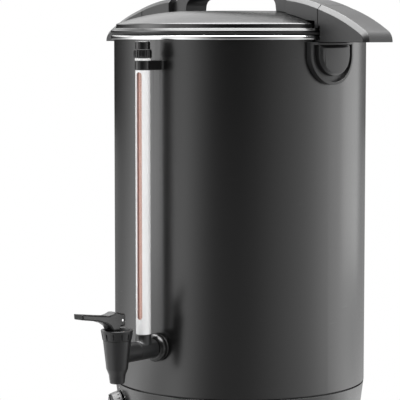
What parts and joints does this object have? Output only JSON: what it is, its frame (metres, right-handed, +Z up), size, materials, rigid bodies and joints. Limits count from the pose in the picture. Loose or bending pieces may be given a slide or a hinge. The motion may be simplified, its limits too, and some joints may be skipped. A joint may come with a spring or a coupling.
{
  "type": "hot water urn",
  "caption": "Tall black drum urn with a steel rim and domed lid, a bowed carrying handle in lid and side pieces, an upright sight gauge and a lever tap above a tapered base.",
  "frame": {"origin": "centre of the circle of feet, on the surface the urn stands on", "axes": "+Z up along the urn axis, tap and gauge towards -Y, side handles on -X and +X"},
  "size_m": [0.4116, 0.3935, 0.5085],
  "materials": {
    "shell_black": "satin",
    "steel_satin": "brushed",
    "steel_bright": "polished",
    "plastic_black": "satin",
    "plastic_gloss": "gloss",
    "skirt_black": "satin",
    "shield_white": "satin",
    "ring_white": "satin",
    "gauge_glass": "clear",
    "gauge_copper": "satin",
    "rubber": "matte",
    "silicone": "matte",
    "brass": "machined",
    "aluminium": "cast",
    "zinc": "plated",
    "lamp_red": "gloss",
    "ceramic": "satin"
  },
  "bodies": {
    "urn": {"outer_shell": "shell_black", "inner_tank": "steel_satin", "rim_ring": "steel_bright", "side_handle_right": "plastic_black", "side_handle_left": "plastic_black", "handle_cover_right": "plastic_black", "handle_cover_left": "plastic_black", "side_handle_screws": "zinc", "handle_backing_plates": "zinc", "gauge_shield": "shield_white", "gauge_glass": "gauge_glass", "gauge_strip": "gauge_copper", "gauge_clamp": "plastic_gloss", "clamp_screws": "shell_black", "gauge_ring": "ring_white", "gauge_nut": "plastic_gloss", "gauge_cap": "plastic_gloss", "gauge_seal": "silicone", "gauge_tee": "plastic_black", "outer_washer": "rubber", "flange_nut": "plastic_gloss", "wall_spacer": "silicone", "inner_washer": "silicone", "lock_nut": "steel_satin", "tap_body": "plastic_black", "tap_collar": "plastic_black", "tap_spring": "steel_bright", "base_skirt": "skirt_black", "base_plate": "zinc", "rubber_feet": "rubber", "foot_screws": "zinc", "centre_stud": "zinc", "stud_nut": "zinc", "heater_plate": "aluminium", "heating_element": "steel_satin", "cutout_switch": "ceramic", "cutout_strap": "zinc", "strap_screws": "zinc", "thermostat": "ceramic", "thermostat_nut": "zinc", "switch_frame": "plastic_gloss", "pilot_lamps": "lamp_red", "inlet_socket": "plastic_gloss", "inlet_pins": "brass", "inlet_screws": "zinc", "terminal_block": "ceramic"},
    "lid_seal": {"lid_gasket": "rubber"},
    "lid": {"lid_shell": "shell_black", "lid_handle": "plastic_black", "lid_handle_screws": "zinc"},
    "stem": {"tap_stem": "steel_satin", "seat_cup": "silicone", "lever_pin": "steel_bright"},
    "lever": {"tap_lever": "plastic_gloss"},
    "knob": {"control_knob": "plastic_black", "thermostat_shaft": "zinc"},
    "rocker": {"switch_rocker": "plastic_gloss"}
  },
  "joints": [
    {"name": "lid_lift", "type": "slide", "parent": "urn", "child": "lid_seal", "axis": [0, 0, 1], "range_m": [0, 0.18]},
    {"name": "lid_turn", "type": "hinge", "parent": "lid_seal", "child": "lid", "pos_m": [0, 0, 0.4445], "axis": [0, 0, 1], "continuous": true},
    {"name": "stem_lift", "type": "slide", "parent": "urn", "child": "stem", "axis": [0, 0, 1], "range_m": [0, 0.005], "deforming": ["tap_spring"]},
    {"name": "lever_tilt", "type": "hinge", "parent": "stem", "child": "lever", "pos_m": [0, -0.1959, 0.1638], "axis": [1, 0, 0], "range_deg": [0, 25], "stiffness_Nm_per_rad": 0.05, "springref_deg": -5.73},
    {"name": "knob_turn", "type": "hinge", "parent": "urn", "child": "knob", "pos_m": [-0.07462, -0.10857, 0.054], "axis": [-0.5619, -0.8175, -0.1265], "range_deg": [-270, 0]},
    {"name": "rocker_tilt", "type": "hinge", "parent": "urn", "child": "rocker", "pos_m": [0.06771, -0.10836, 0.05451], "axis": [0.0671, -0.1073, 0.992], "range_deg": [0, 14]}
  ],
  "couplings": [
    {"joint": "stem_lift", "follows": "lever_tilt", "m_per_rad": 0.011458}
  ]
}
